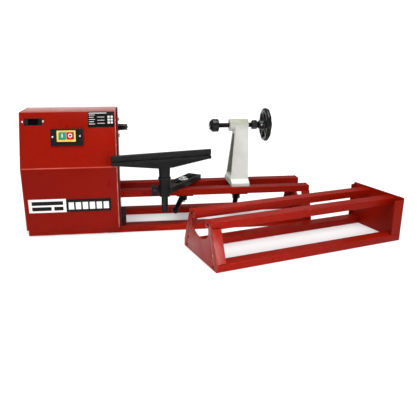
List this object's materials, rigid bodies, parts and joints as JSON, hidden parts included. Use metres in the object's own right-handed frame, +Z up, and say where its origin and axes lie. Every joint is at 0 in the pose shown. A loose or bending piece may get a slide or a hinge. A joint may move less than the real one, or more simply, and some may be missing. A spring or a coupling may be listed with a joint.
{
  "type": "wood lathe",
  "caption": "Bench wood lathe with a sheet-metal headstock, twin tube bed, swivelling tool rest, tailstock with handwheel, and a bed extension lying beside it.",
  "frame": {"origin": "on the bench surface, at the centre of the bench bolt holes", "axes": "+X along the bed from headstock to tailstock, +Y away from the operator, +Z up"},
  "size_m": [1.0258, 0.5333, 0.34],
  "materials": {
    "red_paint": "gloss enamel over sheet steel, light orange peel",
    "dark_paint": "dark brown-black paint",
    "black_paint": "satin black paint on castings",
    "tail_paint": "pale grey-green hammer paint on cast iron",
    "motor_paint": "dark grey motor enamel",
    "steel": "turned steel",
    "black_steel": "blackened turned steel",
    "zinc": "bright zinc plate",
    "aluminium": "turned aluminium",
    "black_plastic": "moulded black plastic",
    "yellow_plastic": "yellow moulded plastic",
    "green_plastic": "green push button",
    "red_plastic": "red push button",
    "label_light": "blank pale printed film",
    "label_dark": "blank black printed film",
    "belt_rubber": "ribbed rubber belt"
  },
  "bodies": {
    "frame": {"base_rail_front": "red_paint", "base_rail_back": "red_paint", "bed_rail_front": "red_paint", "bed_rail_back": "red_paint", "joint_plate": "red_paint", "base_rail_plugs": "black_plastic", "headstock_cover": "red_paint", "headstock_end_plate": "red_paint", "bearing_web": "dark_paint", "headstock_tray": "dark_paint", "door_hinge": "zinc", "switch_plate": "black_plastic", "switch_bezel": "yellow_plastic", "switch_body": "black_plastic", "power_inlet": "black_plastic", "panel_screws": "zinc", "label_upper": "label_dark", "label_light": "label_light", "label_dark": "label_dark", "bearing_front": "steel", "bearing_rear": "steel", "bearing_housing_front": "zinc", "bearing_housing_rear": "zinc", "bearing_bolts": "zinc", "drive_belt": "belt_rubber", "motor_housing": "motor_paint", "motor_bracket": "dark_paint", "motor_capacitor": "black_plastic"},
    "spindle_set": {"spindle": "black_steel", "spur_centre": "black_steel", "spindle_pulley": "aluminium"},
    "motor_set": {"motor_rotor": "steel", "motor_pulley": "aluminium"},
    "door": {"belt_door": "red_paint"},
    "latch": {"door_latch": "zinc"},
    "start_key": {"start_button": "green_plastic"},
    "stop_key": {"stop_button": "red_plastic"},
    "rest_clamp": {"rest_clamp_bolt": "zinc", "rest_clamp_plate": "dark_paint"},
    "rest_lever": {"rest_clamp_lever": "black_plastic"},
    "rest_swivel": {"rest_washer": "zinc"},
    "rest_holder": {"banjo": "black_paint"},
    "socket_knob": {"banjo_lock_knob": "black_plastic"},
    "post": {"rest_post": "black_steel"},
    "rest_bar": {"tool_rest": "black_paint"},
    "tailstock": {"tailstock_casting": "tail_paint", "tail_clamp_bolt": "zinc", "tail_clamp_plate": "dark_paint"},
    "tail_lever": {"tail_clamp_lever": "black_plastic"},
    "centre_case": {"live_centre_case": "black_paint"},
    "centre_point": {"live_centre_point": "steel"},
    "screw_and_wheel": {"tail_screw": "black_steel", "handwheel": "black_paint"},
    "lock_nut": {"tail_lock_nut": "black_paint"},
    "extension": {"ext_base_rail_front": "red_paint", "ext_bed_rail_front": "red_paint", "ext_base_rail_back": "red_paint", "ext_bed_rail_back": "red_paint", "ext_joint_plate": "red_paint", "ext_end_plate": "red_paint"}
  },
  "joints": [
    {"name": "motor_turn", "type": "hinge", "parent": "frame", "child": "motor_set", "pos_m": [-0.3, 0, 0.112], "axis": [1, 0, 0], "continuous": true},
    {"name": "spindle_turn", "type": "hinge", "parent": "frame", "child": "spindle_set", "pos_m": [-0.3, 0, 0.2876], "axis": [1, 0, 0], "continuous": true},
    {"name": "door_swing", "type": "hinge", "parent": "frame", "child": "door", "pos_m": [-0.4174, 0.1265, 0.12], "axis": [0, 0, -1], "range_deg": [0, 110]},
    {"name": "latch_turn", "type": "hinge", "parent": "door", "child": "latch", "pos_m": [-0.4135, -0.088, 0.12], "axis": [1, 0, 0], "range_deg": [0, 90]},
    {"name": "start_press", "type": "slide", "parent": "frame", "child": "start_key", "axis": [0, 0.9384, -0.3455], "range_m": [0, 0.003], "stiffness_N_per_m": 400},
    {"name": "stop_press", "type": "slide", "parent": "frame", "child": "stop_key", "axis": [0, 0.9384, -0.3455], "range_m": [0, 0.003], "stiffness_N_per_m": 400},
    {"name": "rest_along_bed", "type": "slide", "parent": "frame", "child": "rest_clamp", "axis": [1, 0, 0], "range_m": [0, 0.07]},
    {"name": "rest_lever_turn", "type": "hinge", "parent": "rest_clamp", "child": "rest_lever", "pos_m": [0.0368, 0, 0.07], "axis": [0, 0, 1], "range_deg": [-60, 40]},
    {"name": "rest_swing", "type": "hinge", "parent": "rest_clamp", "child": "rest_swivel", "pos_m": [0.0368, 0, 0.12], "axis": [0, 0, 1], "range_deg": [0, 25]},
    {"name": "rest_in_out", "type": "slide", "parent": "rest_swivel", "child": "rest_holder", "axis": [0.5793, 0.8151, 0], "range_m": [-0.05, 0.008]},
    {"name": "socket_knob_turn", "type": "hinge", "parent": "rest_holder", "child": "socket_knob", "pos_m": [-0.055, -0.09, 0.119], "axis": [1, 0, 0], "range_deg": [-180, 180]},
    {"name": "rest_height", "type": "slide", "parent": "rest_holder", "child": "post", "axis": [0, 0, 1], "range_m": [0, 0.06]},
    {"name": "rest_bar_turn", "type": "hinge", "parent": "post", "child": "rest_bar", "pos_m": [-0.0272, -0.09, 0.18], "axis": [0, 0, 1], "range_deg": [0, 60]},
    {"name": "tailstock_along_bed", "type": "slide", "parent": "frame", "child": "tailstock", "axis": [1, 0, 0], "range_m": [-0.07, 0.15]},
    {"name": "tail_lever_turn", "type": "hinge", "parent": "tailstock", "child": "tail_lever", "pos_m": [0.2018, 0, 0.07], "axis": [0, 0, 1], "range_deg": [-60, 40]},
    {"name": "tail_advance", "type": "slide", "parent": "tailstock", "child": "centre_case", "axis": [1, 0, 0], "range_m": [-0.012, 0.032]},
    {"name": "point_turn", "type": "hinge", "parent": "centre_case", "child": "centre_point", "pos_m": [0.1149, 0, 0.2876], "axis": [1, 0, 0], "continuous": true},
    {"name": "handwheel_turn", "type": "hinge", "parent": "centre_case", "child": "screw_and_wheel", "pos_m": [0.2, 0, 0.2876], "axis": [1, 0, 0], "range_deg": [-2160, 5760]},
    {"name": "lock_nut_turn", "type": "hinge", "parent": "screw_and_wheel", "child": "lock_nut", "pos_m": [0.25, 0, 0.2876], "axis": [1, 0, 0], "range_deg": [-90, 90]},
    {"name": "extension_moved", "type": "slide", "parent": "frame", "child": "extension", "axis": [0.9638, 0.2667, 0], "range_m": [0, 0.35]}
  ],
  "couplings": [
    {"joint": "spindle_turn", "follows": "motor_turn", "ratio": 0.8087},
    {"joint": "tail_advance", "follows": "handwheel_turn", "m_per_rad": 0.00031831}
  ]
}
